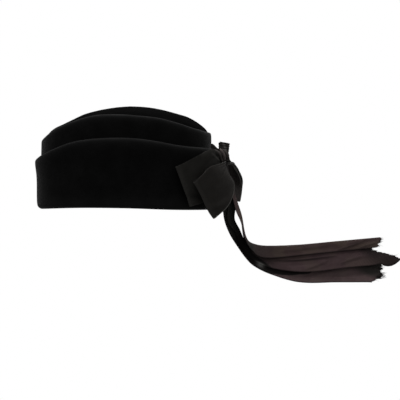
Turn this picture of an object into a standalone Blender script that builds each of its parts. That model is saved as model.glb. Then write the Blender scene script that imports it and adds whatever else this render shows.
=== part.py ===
"""A pillbox hat in three velvet tiers, with a ribbon bow and three long streamers at its back.

Metres, +Z up. The origin is the middle of the head opening, in the plane of the rim. +X points
to the back of the hat, where the bow sits, and -Y to the side that the bow hangs over.
"""

import math

import bmesh
import bpy
from mathutils import Vector

# Hat body
HAT_LENGTH = 0.2054
HAT_WIDTH = 0.174
EGG_SHAPE = 0.03
LOWER_HEIGHT = 0.0808
MIDDLE_HEIGHT = 0.107
CROWN_HEIGHT = 0.1175
LOWER_WALL = 0.0025
MIDDLE_WALL = 0.0022
CROWN_WALL = 0.0022
SEAM_GAP = 0.0003

# Rim: arched over the ears, and turned under
RIM_ARCH = 0.0022
RIM_SKEW = 0.8
RIM_TURN = 0.0042
TURN_UNDER = 0.0012

# Band walls and their rolled top edges
FLARE = 0.0024
FLARE_START = 0.6
FLARE_SPAN = 0.35
TUCK_HEIGHT = 0.03
LEAN_HEIGHT = 0.028
MIDDLE_LEAN = 0.0022
MIDDLE_BATTER = 0.03
ROLL_LEG = 0.003
ROLL_DEPTH = 0.010
FULLER_ROLL = 0.0007
FULLER_SHARE = 0.08

# Crown
CROWN_INSET = 0.0117
CROWN_STRAIGHT = 0.065
PEAK_SHIFT = 0.005
FALL_FRONT = 0.030
FALL_BACK = 0.0212
FALL_SIDE = 0.024
SHOULDER = 0.007

# Bow and streamers
RIBBON_WIDTH = 0.050
RIBBON_WALL = 0.001
KNOT_LENGTH = 0.016
KNOT_DEPTH = 0.013
KNOT_HEIGHT = 0.014
KNOT_LEVEL = 0.060
KNOT_PLEAT = 0.05
STREAMER_REACH = 0.180
STREAMER_DROP = 0.1377
RIDGE_ROUND = 0.0014

# Fineness of the meshes, and the stops on a wall, as shares of its height, and on a round edge
SHARP_ANGLE = 50
LOWER_STOPS = (0.3, 0.55, 0.72, 0.84)
MIDDLE_STOPS = (0.0, 0.35, 0.65, 0.88)
HALF_ROUND = (0, 45, 90, 135, 180)
RIM_ROUND = (-90, -45, 0)
HAT_SEGMENTS = 52
LOOP_STEPS = 6
LOOP_ACROSS = 5
STREAMER_STEPS = 24
KNOT_SEGMENTS = 16

# Top edge of a band: place from front (-1) to back (1), and height as a share of the band's height
LOWER_EDGE = (
    ("along", "height"),
    (-1.00, 0.700),
    (-0.92, 0.765),
    (-0.65, 0.910),
    (-0.42, 0.975),
    (-0.10, 1.000),
    (0.24, 0.976),
    (0.64, 0.890),
    (1.00, 0.850),
)
MIDDLE_EDGE = (
    ("along", "height"),
    (-1.00, 0.742),
    (-0.85, 0.838),
    (-0.60, 0.931),
    (-0.35, 0.992),
    (-0.10, 1.000),
    (0.20, 0.980),
    (0.55, 0.906),
    (0.85, 0.834),
    (1.00, 0.832),
)

# Crown from its shoulder to its peak: share of the half length, and share of the shoulder's drop
CROWN_PROFILE = (
    ("out", "drop"),
    (1.000, 1.00),
    (0.985, 0.46),
    (0.950, 0.17),
    (0.880, 0.04),
    (0.760, 0.00),
    (0.600, 0.00),
    (0.420, 0.00),
    (0.220, 0.00),
)

# The knot from one end (-1) to the other (1), and its thickness there as a share of its full one
KNOT_PROFILE = (
    ("along", "size"),
    (-1.00, 0.78),
    (-0.85, 0.95),
    (-0.40, 1.00),
    (0.40, 1.00),
    (0.85, 0.95),
    (1.00, 0.78),
)

# A loop from the knot to its fold. Each edge of the ribbon has an angle round the hat from where
# the loop leaves the knot, a distance out from the band and a height, both as shares of the
# ribbon's width. The gap lies between the loop's two layers, and is such a share too.
LOOP_COLUMNS = ("along", "top_angle", "top_out", "top_level", "low_angle", "low_out", "low_level", "gap")
NEAR_LOOP = (
    LOOP_COLUMNS,
    (0.00, 0.0, 0.12, 1.31, 0.0, 0.12, 1.11, 0.05),
    (0.30, 13.0, 0.19, 1.38, 11.0, 0.19, 0.84, 0.12),
    (0.55, 26.0, 0.22, 1.36, 22.0, 0.22, 0.40, 0.14),
    (0.80, 40.0, 0.19, 1.17, 32.0, 0.19, 0.17, 0.11),
    (1.00, 51.8, 0.15, 0.97, 41.2, 0.15, 0.08, 0.065),
)
FRONT_LOOP = (
    LOOP_COLUMNS,
    (0.00, 0.0, 0.25, 1.16, 0.0, 0.25, 1.00, 0.05),
    (0.25, 15.4, 0.34, 1.06, 9.4, 0.36, 0.82, 0.08),
    (0.50, 32.0, 0.40, 0.98, 10.2, 0.51, 0.54, 0.12),
    (0.75, 37.5, 0.36, 0.82, 17.6, 0.49, 0.11, 0.11),
    (1.00, 42.4, 0.30, 0.63, 26.4, 0.34, -0.19, 0.065),
)
FAR_LOOP = (
    LOOP_COLUMNS,
    (0.00, 0.0, 0.14, 1.42, 0.0, 0.12, 1.14, 0.05),
    (0.15, -4.2, 0.37, 1.52, -3.2, 0.17, 1.08, 0.08),
    (0.35, -14.0, 0.21, 1.38, -12.0, 0.21, 0.84, 0.12),
    (0.55, -26.0, 0.22, 1.50, -22.0, 0.22, 0.44, 0.14),
    (0.80, -41.0, 0.19, 1.26, -33.0, 0.19, 0.18, 0.11),
    (1.00, -53.0, 0.15, 0.98, -42.5, 0.15, 0.05, 0.065),
)
BACK_LOOP = (
    LOOP_COLUMNS,
    (0.00, 0.0, 0.27, 1.16, 0.0, 0.27, 1.00, 0.05),
    (0.12, -5.0, 0.31, 1.14, -1.6, 0.43, 1.02, 0.065),
    (0.25, -14.0, 0.34, 1.09, -4.8, 0.54, 0.91, 0.08),
    (0.50, -28.0, 0.38, 1.02, -9.8, 0.71, 0.66, 0.12),
    (0.75, -32.0, 0.36, 0.88, -15.4, 0.79, 0.40, 0.12),
    (1.00, -36.0, 0.36, 0.66, -20.4, 0.85, 0.15, 0.065),
)

# A streamer's ridge from under the knot to its cut end: how far it has gone back and down, as
# shares of the streamers' reach and drop, and the near flap's share of the ribbon's width
RIDGE_COLUMNS = ("along", "reach", "drop", "near")
TOP_RIDGE = (
    RIDGE_COLUMNS,
    (0.000, 0.000, 0.000, 0.50),
    (0.090, 0.033, 0.176, 0.50),
    (0.190, 0.071, 0.345, 0.50),
    (0.255, 0.097, 0.452, 0.50),
    (0.340, 0.117, 0.597, 0.46),
    (0.380, 0.140, 0.656, 0.42),
    (0.420, 0.187, 0.690, 0.38),
    (0.480, 0.262, 0.699, 0.33),
    (0.625, 0.458, 0.688, 0.28),
    (0.800, 0.690, 0.660, 0.27),
    (1.000, 0.978, 0.625, 0.26),
)
MIDDLE_RIDGE = (
    RIDGE_COLUMNS,
    (0.000, 0.000, 0.000, 0.40),
    (0.095, 0.034, 0.180, 0.38),
    (0.195, 0.062, 0.353, 0.34),
    (0.260, 0.074, 0.470, 0.22),
    (0.310, 0.104, 0.557, 0.21),
    (0.370, 0.137, 0.652, 0.20),
    (0.420, 0.177, 0.717, 0.21),
    (0.460, 0.229, 0.754, 0.25),
    (0.530, 0.320, 0.764, 0.36),
    (0.650, 0.487, 0.742, 0.50),
    (0.810, 0.711, 0.706, 0.53),
    (1.000, 0.885, 0.694, 0.46),
)
LOW_RIDGE = (
    RIDGE_COLUMNS,
    (0.000, 0.000, 0.000, 0.40),
    (0.090, 0.024, 0.185, 0.40),
    (0.185, 0.052, 0.358, 0.40),
    (0.250, 0.066, 0.479, 0.30),
    (0.300, 0.099, 0.571, 0.27),
    (0.360, 0.134, 0.666, 0.19),
    (0.410, 0.180, 0.740, 0.20),
    (0.455, 0.235, 0.794, 0.25),
    (0.530, 0.335, 0.832, 0.32),
    (0.650, 0.505, 0.849, 0.45),
    (0.800, 0.727, 0.842, 0.47),
    (1.000, 1.028, 0.830, 0.50),
)

# Where each streamer leaves the knot's underside, as a share of half the knot's depth
TOP_SEAT = 0.61
MIDDLE_SEAT = 0.08
LOW_SEAT = -0.45

# How a streamer is gathered, and how far its two flaps lean out from its ridge, in degrees
FOLD_COLUMNS = ("along", "width", "near_lean", "far_lean")
TOP_FOLD = (
    FOLD_COLUMNS,
    (0.00, 0.22, 80.0, 80.0),
    (0.10, 0.40, 72.0, 84.0),
    (0.20, 0.60, 74.0, 86.0),
    (0.27, 0.80, 84.0, 86.0),
    (0.34, 0.97, 85.0, 85.0),
    (0.38, 1.00, 82.0, 82.0),
    (0.41, 1.00, 66.0, 78.0),
    (0.44, 1.00, 44.0, 72.0),
    (0.50, 1.00, 22.0, 62.0),
    (0.66, 1.00, 18.0, 40.0),
    (1.00, 1.00, 18.0, 30.0),
)
UNDER_FOLD = (
    FOLD_COLUMNS,
    (0.00, 0.22, 60.0, 80.0),
    (0.10, 0.36, 55.0, 80.0),
    (0.20, 0.55, 45.0, 80.0),
    (0.30, 0.85, 42.0, 82.0),
    (0.38, 1.00, 40.0, 80.0),
    (0.46, 1.00, 30.0, 75.0),
    (0.54, 1.00, 22.0, 64.0),
    (0.66, 1.00, 20.0, 42.0),
    (1.00, 1.00, 20.0, 34.0),
)

# How much further the near edge runs than the ridge at the cut end, as a share of the width
TOP_SLANT = -0.06
MIDDLE_SLANT = 0.90
LOW_SLANT = -0.19
SLANT_START = 0.85


def clear_scene():
    for item in list(bpy.data.objects):
        bpy.data.objects.remove(item)


def column(table, name):
    names = table[0]
    place = names.index(name)
    return [row[place] for row in table[1:]]


def read(table, name, at):
    """The named column at a value of the first column, on a smooth curve through the rows."""
    keys = column(table, table[0][0])
    values = column(table, name)
    last = len(keys) - 1

    def slope(i):
        low = max(i - 1, 0)
        high = min(i + 1, last)
        return (values[high] - values[low]) / (keys[high] - keys[low])

    start = 0
    while start < last - 1 and keys[start + 1] <= at:
        start += 1
    span = keys[start + 1] - keys[start]
    t = min(max((at - keys[start]) / span, 0.0), 1.0)
    rise = values[start + 1] - values[start]
    bend_in = slope(start) * span - rise
    bend_out = rise - slope(start + 1) * span
    return values[start] + rise * t + t * (1 - t) * (bend_in * (1 - t) + bend_out * t)


def smooth_step(value):
    t = min(max(value, 0.0), 1.0)
    return t * t * (3 - 2 * t)


def oval(angle, out, height):
    """A point at an angle round the hat from its back, towards -Y, and out from the rim's oval."""
    x = (HAT_LENGTH / 2 + out) * math.cos(angle)
    egg = 1 + EGG_SHAPE * math.cos(angle)
    y = -(HAT_WIDTH / 2 + out) * math.sin(angle) * egg
    return Vector((x, y, height))


def surface_normals(rows, joined, peak):
    last = len(rows) - 1
    across = len(rows[0])
    normals = []
    for i, row in enumerate(rows):
        before = rows[max(i - 1, 0)]
        after = rows[min(i + 1, last)]
        if i == last and peak:
            after = [peak] * across
        line = []
        for j in range(across):
            if joined:
                left = row[j - 1]
                right = row[(j + 1) % across]
            else:
                left = row[max(j - 1, 0)]
                right = row[min(j + 1, across - 1)]
            line.append((after[j] - before[j]).cross(right - left).normalized())
        normals.append(line)
    return normals


def thick_sheet(rows, outer, inner, joined=False, peak=None):
    """A closed mesh from rows of points, spread outwards and inwards from them. A joined sheet
    goes all the way round, and a peak closes its last row."""
    mesh = bmesh.new()
    normals = surface_normals(rows, joined, peak)

    def side(shift):
        return [
            [mesh.verts.new(point + normal * shift) for point, normal in zip(row, line)]
            for row, line in zip(rows, normals)
        ]

    front = side(outer)
    back = side(-inner)
    across = len(rows[0])
    strips = range(across if joined else across - 1)
    for skin in (front, back):
        for lower, upper in zip(skin, skin[1:]):
            for j in strips:
                k = (j + 1) % across
                mesh.faces.new((lower[j], lower[k], upper[k], upper[j]))
    ends = [0] if peak else [0, -1]
    for end in ends:
        for j in strips:
            k = (j + 1) % across
            mesh.faces.new((front[end][j], front[end][k], back[end][k], back[end][j]))
    if peak:
        for skin, shift in ((front, outer), (back, -inner)):
            tip = mesh.verts.new(peak + Vector((0, 0, shift)))
            for j in strips:
                mesh.faces.new((skin[-1][j], skin[-1][(j + 1) % across], tip))
    if not joined:
        for edge in (0, -1):
            for i in range(len(rows) - 1):
                mesh.faces.new(
                    (front[i][edge], front[i + 1][edge], back[i + 1][edge], back[i][edge])
                )
    bmesh.ops.recalc_face_normals(mesh, faces=mesh.faces[:])
    return mesh


def finish_of(name, colour, roughness, sheen):
    material = bpy.data.materials.new(name)
    material.use_nodes = True
    shader = material.node_tree.nodes["Principled BSDF"]
    shader.inputs["Base Color"].default_value = (*colour, 1.0)
    shader.inputs["Roughness"].default_value = roughness
    shader.inputs["Metallic"].default_value = 0.0
    shader.inputs["Sheen Weight"].default_value = sheen
    return material


def velvet(name):
    return finish_of(name + "_velvet", (0.004, 0.004, 0.004), 0.9, 0.25)


def dark_ribbon(name):
    return finish_of(name + "_ribbon", (0.014, 0.014, 0.013), 0.55, 0.0)


def brown_ribbon(name):
    return finish_of(name + "_ribbon", (0.028, 0.020, 0.019), 0.5, 0.0)


def add_piece(name, shape, holder, material):
    """Makes the object of a piece, shaded smooth, with its mesh measured from its holder."""
    bmesh.ops.translate(shape, verts=shape.verts[:], vec=-holder.location)
    mesh = bpy.data.meshes.new(name)
    shape.to_mesh(mesh)
    shape.free()
    mesh.shade_smooth()
    mesh.set_sharp_from_angle(angle=math.radians(SHARP_ANGLE))
    mesh.materials.append(material(name))
    piece = bpy.data.objects.new(name, mesh)
    bpy.context.scene.collection.objects.link(piece)
    piece.parent = holder
    return piece


def add_holder(name, place):
    holder = bpy.data.objects.new(name, None)
    holder.location = place
    bpy.context.scene.collection.objects.link(holder)
    return holder


def hat_angles():
    return [2 * math.pi * j / HAT_SEGMENTS for j in range(HAT_SEGMENTS)]


def rows_round(profile_at):
    """Rows round the hat from a function that gives the profile, as (out, height), at an angle."""
    angles = hat_angles()
    profiles = [profile_at(angle) for angle in angles]
    return [
        [oval(angle, *profile[i]) for angle, profile in zip(angles, profiles)]
        for i in range(len(profiles[0]))
    ]


def rim_level(angle):
    return RIM_ARCH * math.sin(angle) ** 2 * (1 - RIM_SKEW * math.cos(angle))


def lower_out(share):
    """The middle of the lower band's wall, at a share of its height."""
    return -LOWER_WALL / 2 + FLARE * smooth_step((share - FLARE_START) / FLARE_SPAN)


def middle_out(height):
    """The middle of the middle band's wall, which fits between the lower band and the crown."""
    tucked = -(LOWER_WALL + SEAM_GAP + MIDDLE_WALL / 2)
    lean = MIDDLE_LEAN * min((height - TUCK_HEIGHT) / LEAN_HEIGHT, 1.0)
    batter = MIDDLE_BATTER * max(height - TUCK_HEIGHT - LEAN_HEIGHT, 0.0)
    return tucked - lean - batter


def roll_over(wall_out, leg_out, top, wall):
    """The rolled top edge of a band, from its wall over to its short inner leg."""
    radius = (wall_out - leg_out) / 2
    centre_out = wall_out - radius
    centre_level = top - wall / 2 - radius
    points = [
        (
            centre_out + radius * math.cos(math.radians(turn)),
            centre_level + radius * math.sin(math.radians(turn)),
        )
        for turn in HALF_ROUND
    ]
    return points + [(leg_out, centre_level - ROLL_LEG)]


def lower_profile(angle):
    level = rim_level(angle)
    half = LOWER_WALL / 2
    centre = half + RIM_TURN
    turned = [(-centre - TURN_UNDER, level + half)]
    for turn in RIM_ROUND:
        turned.append(
            (
                -centre + RIM_TURN * math.cos(math.radians(turn)),
                level + centre + RIM_TURN * math.sin(math.radians(turn)),
            )
        )
    top = LOWER_HEIGHT * read(LOWER_EDGE, "height", math.cos(angle))
    wall = [(lower_out(share), top * share) for share in LOWER_STOPS]
    middle_face = middle_out(top - ROLL_DEPTH) + MIDDLE_WALL / 2
    leg = middle_face + SEAM_GAP + half
    return turned + wall + roll_over(lower_out(1.0), leg, top, LOWER_WALL)


def crown_fall(angle):
    ends = FALL_BACK if math.cos(angle) > 0 else FALL_FRONT
    return FALL_SIDE + (ends - FALL_SIDE) * math.cos(angle) ** 2


def shoulder_level(angle):
    return CROWN_HEIGHT - crown_fall(angle) - SHOULDER


def middle_profile(angle):
    top = MIDDLE_HEIGHT * read(MIDDLE_EDGE, "height", math.cos(angle))
    rise = top - TUCK_HEIGHT
    levels = [TUCK_HEIGHT + rise * share for share in MIDDLE_STOPS]
    wall = [(middle_out(level), level) for level in levels]
    spare = max(top - ROLL_DEPTH - shoulder_level(angle), 0.0)
    fuller = min(FULLER_ROLL, FULLER_SHARE * spare)
    leg = -CROWN_INSET + SEAM_GAP + MIDDLE_WALL / 2 - 2 * fuller
    return wall + roll_over(middle_out(top), leg, top, MIDDLE_WALL)


def crown_rows():
    rim_seat = LOWER_WALL / 2 + RIM_TURN
    rim_inset = LOWER_WALL + SEAM_GAP
    tuck_inset = rim_inset + MIDDLE_WALL + SEAM_GAP

    def wall_at(angle):
        level = rim_level(angle) + rim_seat
        return [
            (-rim_inset, level),
            (-(rim_inset + tuck_inset) / 2, (level + TUCK_HEIGHT) / 2),
            (-tuck_inset, TUCK_HEIGHT),
            (-CROWN_INSET, CROWN_STRAIGHT),
        ]

    rows = rows_round(wall_at)
    for out, drop in CROWN_PROFILE[1:]:
        row = []
        for angle in hat_angles():
            edge = oval(angle, -CROWN_INSET, 0)
            height = CROWN_HEIGHT - crown_fall(angle) * out**2 - SHOULDER * drop
            row.append(
                Vector((edge.x * out + PEAK_SHIFT * (1 - out), edge.y * out, height))
            )
        rows.append(row)
    return rows


def loop_rows(table):
    """Rows along a loop's ribbon: out along its outer layer, round the fold, and back."""
    side = math.copysign(1, column(table, "top_angle")[-1])
    shares = [j / (LOOP_ACROSS - 1) for j in range(LOOP_ACROSS)]
    steps = [i / LOOP_STEPS for i in range(LOOP_STEPS + 1)]

    def point(along, share):
        angle = 0.0
        out = 0.0
        level = 0.0
        for edge, weight in (("top", 1 - share), ("low", share)):
            angle += weight * read(table, edge + "_angle", along)
            out += weight * RIBBON_WIDTH * read(table, edge + "_out", along)
            level += weight * RIBBON_WIDTH * read(table, edge + "_level", along)
        half = (HAT_WIDTH / 2 + out) * (1 + EGG_SHAPE)
        start = math.asin((KNOT_LENGTH / 2 + SEAM_GAP + RIBBON_WALL / 2) / half)
        return oval(side * start + math.radians(angle), out, level)

    front = [[point(step, share) for share in shares] for step in steps]
    back = []
    for step, row, line in zip(steps, front, surface_normals(front, False, None)):
        inwards = -side * RIBBON_WIDTH * read(table, "gap", step)
        back.append([place + normal * inwards for place, normal in zip(row, line)])
    fold = []
    for turn in HALF_ROUND[1:-1]:
        row = []
        for j in range(LOOP_ACROSS):
            outwards = (front[-1][j] - front[-2][j]).normalized()
            across = (front[-1][j] - back[-1][j]) / 2
            middle = (front[-1][j] + back[-1][j]) / 2
            angle = math.radians(turn)
            reach = outwards * across.length * math.sin(angle)
            row.append(middle + reach + across * math.cos(angle))
        fold.append(row)
    return front + fold + back[::-1]


def knot_place():
    out = FLARE + SEAM_GAP + KNOT_DEPTH / 2
    return Vector((HAT_LENGTH / 2 + out, 0, KNOT_LEVEL))


def knot_shape():
    """A barrel along Y with shallow pleats, where the knot's ribbon is wound round the bow."""
    centre = knot_place()
    mesh = bmesh.new()
    rings = []
    for along, size in KNOT_PROFILE[1:]:
        ring = []
        for j in range(KNOT_SEGMENTS):
            angle = 2 * math.pi * j / KNOT_SEGMENTS
            pleat = 1 - KNOT_PLEAT * (j % 2) * (1 - abs(along))
            x = KNOT_DEPTH / 2 * size * pleat * math.cos(angle)
            z = KNOT_HEIGHT / 2 * size * pleat * math.sin(angle)
            ring.append(mesh.verts.new(centre + Vector((x, along * KNOT_LENGTH / 2, z))))
        rings.append(ring)
    for lower, upper in zip(rings, rings[1:]):
        for j in range(KNOT_SEGMENTS):
            k = (j + 1) % KNOT_SEGMENTS
            mesh.faces.new((lower[j], lower[k], upper[k], upper[j]))
    mesh.faces.new(rings[0])
    mesh.faces.new(rings[-1])
    bmesh.ops.recalc_face_normals(mesh, faces=mesh.faces[:])
    return mesh


def streamer_rows(ridge, fold, seat, slant):
    """Rows along a streamer, folded lengthwise over its ridge into a near and a far flap."""
    knot = knot_place()
    start_x = knot.x + seat * KNOT_DEPTH / 2
    start_z = knot.z - KNOT_HEIGHT / 2 * math.sqrt(1 - seat**2) - SEAM_GAP

    def ridge_point(along):
        x = start_x + STREAMER_REACH * read(ridge, "reach", along)
        z = start_z - STREAMER_DROP * read(ridge, "drop", along)
        return Vector((x, 0, z))

    rows = []
    for i in range(STREAMER_STEPS + 1):
        along = i / STREAMER_STEPS
        step = 0.5 / STREAMER_STEPS
        run = ridge_point(min(along + step, 1)) - ridge_point(max(along - step, 0))
        run.normalize()
        down = Vector((run.z, 0, -run.x))
        near_lean = math.radians(read(fold, "near_lean", along))
        far_lean = math.radians(read(fold, "far_lean", along))
        near_way = down * math.cos(near_lean) - Vector((0, math.sin(near_lean), 0))
        far_way = down * math.cos(far_lean) + Vector((0, math.sin(far_lean), 0))
        width = RIBBON_WIDTH * read(fold, "width", along)
        near = width * read(ridge, "near", along)
        far = width - near
        third = (far - RIDGE_ROUND) / 3
        stops = (
            -near,
            -(near + RIDGE_ROUND) / 2,
            -RIDGE_ROUND,
            RIDGE_ROUND,
            RIDGE_ROUND + third,
            far - third,
            far,
        )
        late = max(along - SLANT_START, 0) / (1 - SLANT_START)
        row = []
        for stop in stops:
            bend = math.hypot(stop, RIDGE_ROUND)
            point = ridge_point(along)
            point += near_way * (bend - stop) / 2 + far_way * (bend + stop) / 2
            slide = slant * RIBBON_WIDTH * late**2 * max(-stop / near, 0)
            row.append(point + run * slide)
        rows.append(row)
    return rows


def build_hat(hat):
    crown = thick_sheet(
        crown_rows(), 0, CROWN_WALL, joined=True, peak=Vector((PEAK_SHIFT, 0, CROWN_HEIGHT))
    )
    add_piece("crown", crown, hat, velvet)
    for name, profile, wall in (
        ("middle_band", middle_profile, MIDDLE_WALL),
        ("lower_band", lower_profile, LOWER_WALL),
    ):
        band = thick_sheet(rows_round(profile), wall / 2, wall / 2, joined=True)
        add_piece(name, band, hat, velvet)


def build_bow(bow):
    for name, table in (
        ("bow_near_loop", NEAR_LOOP),
        ("bow_front_loop", FRONT_LOOP),
        ("bow_far_loop", FAR_LOOP),
        ("bow_back_loop", BACK_LOOP),
    ):
        loop = thick_sheet(loop_rows(table), RIBBON_WALL / 2, RIBBON_WALL / 2)
        add_piece(name, loop, bow, dark_ribbon)
    add_piece("bow_knot", knot_shape(), bow, dark_ribbon)


def build_streamers(bow):
    for name, ridge, fold, seat, slant in (
        ("streamer_top", TOP_RIDGE, TOP_FOLD, TOP_SEAT, TOP_SLANT),
        ("streamer_middle", MIDDLE_RIDGE, UNDER_FOLD, MIDDLE_SEAT, MIDDLE_SLANT),
        ("streamer_low", LOW_RIDGE, UNDER_FOLD, LOW_SEAT, LOW_SLANT),
    ):
        rows = streamer_rows(ridge, fold, seat, slant)
        streamer = thick_sheet(rows, RIBBON_WALL / 2, RIBBON_WALL / 2)
        add_piece(name, streamer, bow, brown_ribbon)


clear_scene()
hat_holder = add_holder("hat", Vector((0, 0, 0)))
bow_holder = add_holder("bow", knot_place())
build_hat(hat_holder)
build_bow(bow_holder)
build_streamers(bow_holder)
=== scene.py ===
"""The looks of a velvet pillbox hat with a ribbon bow and three streamers, in a white studio.

Metres, +Z up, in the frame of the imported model. -X is the front of the hat and -Y faces the camera.
"""

import math
import random

import bmesh
import bpy
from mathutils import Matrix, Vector, noise


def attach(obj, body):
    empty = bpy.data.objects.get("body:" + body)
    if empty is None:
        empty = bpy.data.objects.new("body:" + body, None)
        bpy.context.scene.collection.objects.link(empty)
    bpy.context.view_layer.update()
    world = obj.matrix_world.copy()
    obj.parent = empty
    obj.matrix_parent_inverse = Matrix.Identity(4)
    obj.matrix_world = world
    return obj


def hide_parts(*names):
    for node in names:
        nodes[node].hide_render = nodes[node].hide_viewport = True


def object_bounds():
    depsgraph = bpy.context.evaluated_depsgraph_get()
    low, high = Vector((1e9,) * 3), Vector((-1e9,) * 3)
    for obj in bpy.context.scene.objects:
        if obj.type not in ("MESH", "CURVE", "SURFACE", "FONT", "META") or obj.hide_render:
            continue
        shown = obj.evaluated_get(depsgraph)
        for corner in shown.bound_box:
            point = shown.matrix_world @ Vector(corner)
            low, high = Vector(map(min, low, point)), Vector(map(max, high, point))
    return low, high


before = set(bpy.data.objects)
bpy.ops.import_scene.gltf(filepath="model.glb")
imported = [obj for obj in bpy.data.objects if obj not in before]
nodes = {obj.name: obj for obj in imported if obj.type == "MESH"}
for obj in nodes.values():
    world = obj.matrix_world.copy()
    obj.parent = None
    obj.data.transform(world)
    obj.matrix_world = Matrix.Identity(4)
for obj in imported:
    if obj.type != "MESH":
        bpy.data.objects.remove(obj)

scene = bpy.context.scene
cad_low, cad_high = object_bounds()

# Camera: at the hat's side, a degree above level, far enough away to flatten the view. Its field is
# the photograph's, where a pixel covers 1.15 mm of the plane through the middle of the hat.
PHOTO_PIXELS = 400
PIXEL = 0.00115
OPENING_PIXEL_X = 126.0
OPENING_PIXEL_Y = 208.5
CAMERA_DISTANCE = 2.5
CAMERA_RISE = math.radians(1.0)
SENSOR_MM = 36.0


def add_object(name, data):
    made = bpy.data.objects.new(name, data)
    scene.collection.objects.link(made)
    return made


aim_x = (PHOTO_PIXELS / 2 - OPENING_PIXEL_X) * PIXEL
aim = Vector((aim_x, 0.0, (OPENING_PIXEL_Y - PHOTO_PIXELS / 2) * PIXEL))
towards_camera = Vector((0.0, -math.cos(CAMERA_RISE), math.sin(CAMERA_RISE)))
camera = add_object("camera", bpy.data.cameras.new("camera"))
camera.data.sensor_width = SENSOR_MM
camera.data.lens = SENSOR_MM * CAMERA_DISTANCE / (PHOTO_PIXELS * PIXEL)
camera.location = aim + towards_camera * CAMERA_DISTANCE
camera.rotation_euler = (-towards_camera).to_track_quat("-Z", "Y").to_euler()
scene.camera = camera

# Studio: a white surround and a white floor at the height that the lowest streamer touches. One
# wide soft light hangs overhead, and a weaker one stands beside the camera, towards the front.
FLOOR_SIZE = 60.0
FLOOR_GAP = 0.0002
SURROUND_LIGHT = 0.45
FLOOR_GLOW = 0.30
WHITE = (1.0, 1.0, 1.0, 1.0)
LIGHTS = (
    ("name", "x", "y", "z", "size", "watts"),
    ("overhead", 0.10, 0.10, 1.70, 2.2, 46.0),
    ("front_fill", -1.20, -1.80, 0.70, 1.2, 5.0),
)


def white_to_camera(owner, kind, output, strength):
    """Makes a world or a material plain white to the camera, and sets how strongly it lights."""
    owner.use_nodes = True
    tree = owner.node_tree
    tree.nodes.clear()
    ray = tree.nodes.new("ShaderNodeLightPath")
    choice = tree.nodes.new("ShaderNodeMixShader")
    tree.links.new(ray.outputs["Is Camera Ray"], choice.inputs["Fac"])
    for socket, value in ((choice.inputs[2], 1.0), (choice.inputs[1], strength)):
        glow = tree.nodes.new(kind)
        glow.inputs["Color"].default_value = WHITE
        glow.inputs["Strength"].default_value = value
        tree.links.new(glow.outputs[0], socket)
    end = tree.nodes.new(output)
    tree.links.new(choice.outputs["Shader"], end.inputs["Surface"])


scene.view_settings.view_transform = "Standard"
world = bpy.data.worlds.new("white_surround")
scene.world = world
white_to_camera(world, "ShaderNodeBackground", "ShaderNodeOutputWorld", SURROUND_LIGHT)
paper = bpy.data.materials.new("white_paper")
white_to_camera(paper, "ShaderNodeEmission", "ShaderNodeOutputMaterial", FLOOR_GLOW)

floor_mesh = bpy.data.meshes.new("floor")
edge = FLOOR_SIZE / 2
floor_mesh.from_pydata(
    [(-edge, -edge, 0), (edge, -edge, 0), (edge, edge, 0), (-edge, edge, 0)], [], [(0, 1, 2, 3)]
)
floor_mesh.materials.append(paper)
floor = add_object("floor", floor_mesh)
floor.location.z = cad_low.z - FLOOR_GAP

for name, x, y, z, size, watts in LIGHTS[1:]:
    lamp = bpy.data.lights.new(name, "AREA")
    lamp.size = size
    lamp.energy = watts
    light = add_object(name, lamp)
    light.location = (x, y, z)
    light.rotation_euler = (light.location - aim).to_track_quat("Z", "Y").to_euler()

# Crown: a shallow cap of black cotton velvet, stretched over a stiffened cloth shape and felled to
# it inside. Its pile is short and dense, and the bare base cloth shows on its inner face.
HAT_MIDDLE = Vector((0.0, 0.0, 0.03))
LINED_FACING = 0.2
ROUNDING = 2
CLOTH_WAVE = 0.0005
CLOTH_WAVE_SIZE = 0.035
LIFT_WAVE_SHIFT = Vector((7.0, 3.0, 5.0))
RIM_HELD = 0.05
# The crown has the bands' velvet with less sheen, and darker colours that are painted shade.
CROWN_SHADED_BLACK = (0.0012, 0.0012, 0.0012)
CROWN_SHADED_BRUSHED = (0.0030, 0.0030, 0.0030)
CROWN_SHEEN = 0.015
PILE_SIZE = 0.0006
PILE_RISE = 0.0002
BRUSH_SIZE = 0.022
BASE_CLOTH = (0.006, 0.0057, 0.0054)
BASE_CLOTH_DARK = (0.003, 0.003, 0.003)
# How far the crown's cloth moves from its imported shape. A pair is where a move starts and over
# what distance it grows to the full.
CROWN_BACK_FULLNESS = 0.0042
CROWN_BACK_X, CROWN_BACK_Z = (0.055, 0.035), (0.068, 0.010)
CROWN_BACK_DROP = 0.0053
SHOULDER_X, SHOULDER_Z = (0.066, 0.026), (0.060, 0.012)
CROWN_FRONT_DROP = 0.0012
BROW_START, BROW_END = (0.045, 0.018), (0.070, 0.012)


def set_inputs(node, values):
    """Sets a node's input sockets by name, written with _ for spaces."""
    for name, value in values.items():
        node.inputs[name.replace("_", " ")].default_value = value
    return node


def node_with(tree, kind, **values):
    return set_inputs(tree.nodes.new(kind), values)


def group_of(name, inputs, outputs):
    """An empty shader group, with its input and output nodes. Inputs have default values."""
    tree = bpy.data.node_groups.new(name, "ShaderNodeTree")
    for label, value in inputs:
        socket = tree.interface.new_socket(label, in_out="INPUT", socket_type="NodeSocketFloat")
        socket.default_value = value
    for label in outputs:
        tree.interface.new_socket(label, in_out="OUTPUT", socket_type="NodeSocketFloat")
    return tree, tree.nodes.new("NodeGroupInput"), tree.nodes.new("NodeGroupOutput")


def object_noise(tree, **values):
    """Noise in the coordinates of the object itself."""
    place = tree.nodes.new("ShaderNodeTexCoord")
    texture = node_with(tree, "ShaderNodeTexNoise", **values)
    tree.links.new(place.outputs["Object"], texture.inputs["Vector"])
    return texture


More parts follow.
